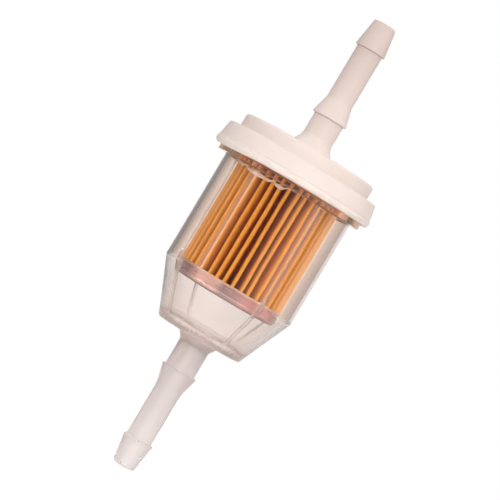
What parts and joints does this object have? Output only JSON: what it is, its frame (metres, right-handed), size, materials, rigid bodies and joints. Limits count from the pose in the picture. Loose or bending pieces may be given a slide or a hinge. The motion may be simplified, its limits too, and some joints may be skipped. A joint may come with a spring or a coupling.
{
  "type": "fuel filter",
  "caption": "Small inline fuel filter: clear bowl and ivory cap, each with a stepped hose barb, welded round a pleated paper element.",
  "frame": {"origin": "centre of the end face of the bowl's hose barb", "axes": "+Z along the filter's axis, from the bowl's barb to the cap's barb; the four locating ribs of the bowl stand 33.3 degrees from the X and Y axes"},
  "size_m": [0.0396, 0.0396, 0.1138],
  "materials": {
    "clear_nylon": "clear moulded, glossy",
    "ivory_nylon": "satin moulded",
    "welded_nylon": "melted edge, satin",
    "filter_paper": "resin-cured paper, matt",
    "adhesive": "cast, uneven",
    "passivated_steel": "zinc plated, iridescent yellow-pink",
    "tube_plastic": "moulded, satin"
  },
  "bodies": {
    "root": {"bowl": "clear_nylon", "cap": "ivory_nylon", "weld_bead": "welded_nylon", "filter_paper": "filter_paper", "paper_seam": "adhesive", "lower_end_cup": "passivated_steel", "lower_potting": "adhesive", "upper_potting": "adhesive", "centre_tube": "tube_plastic"}
  },
  "joints": []
}
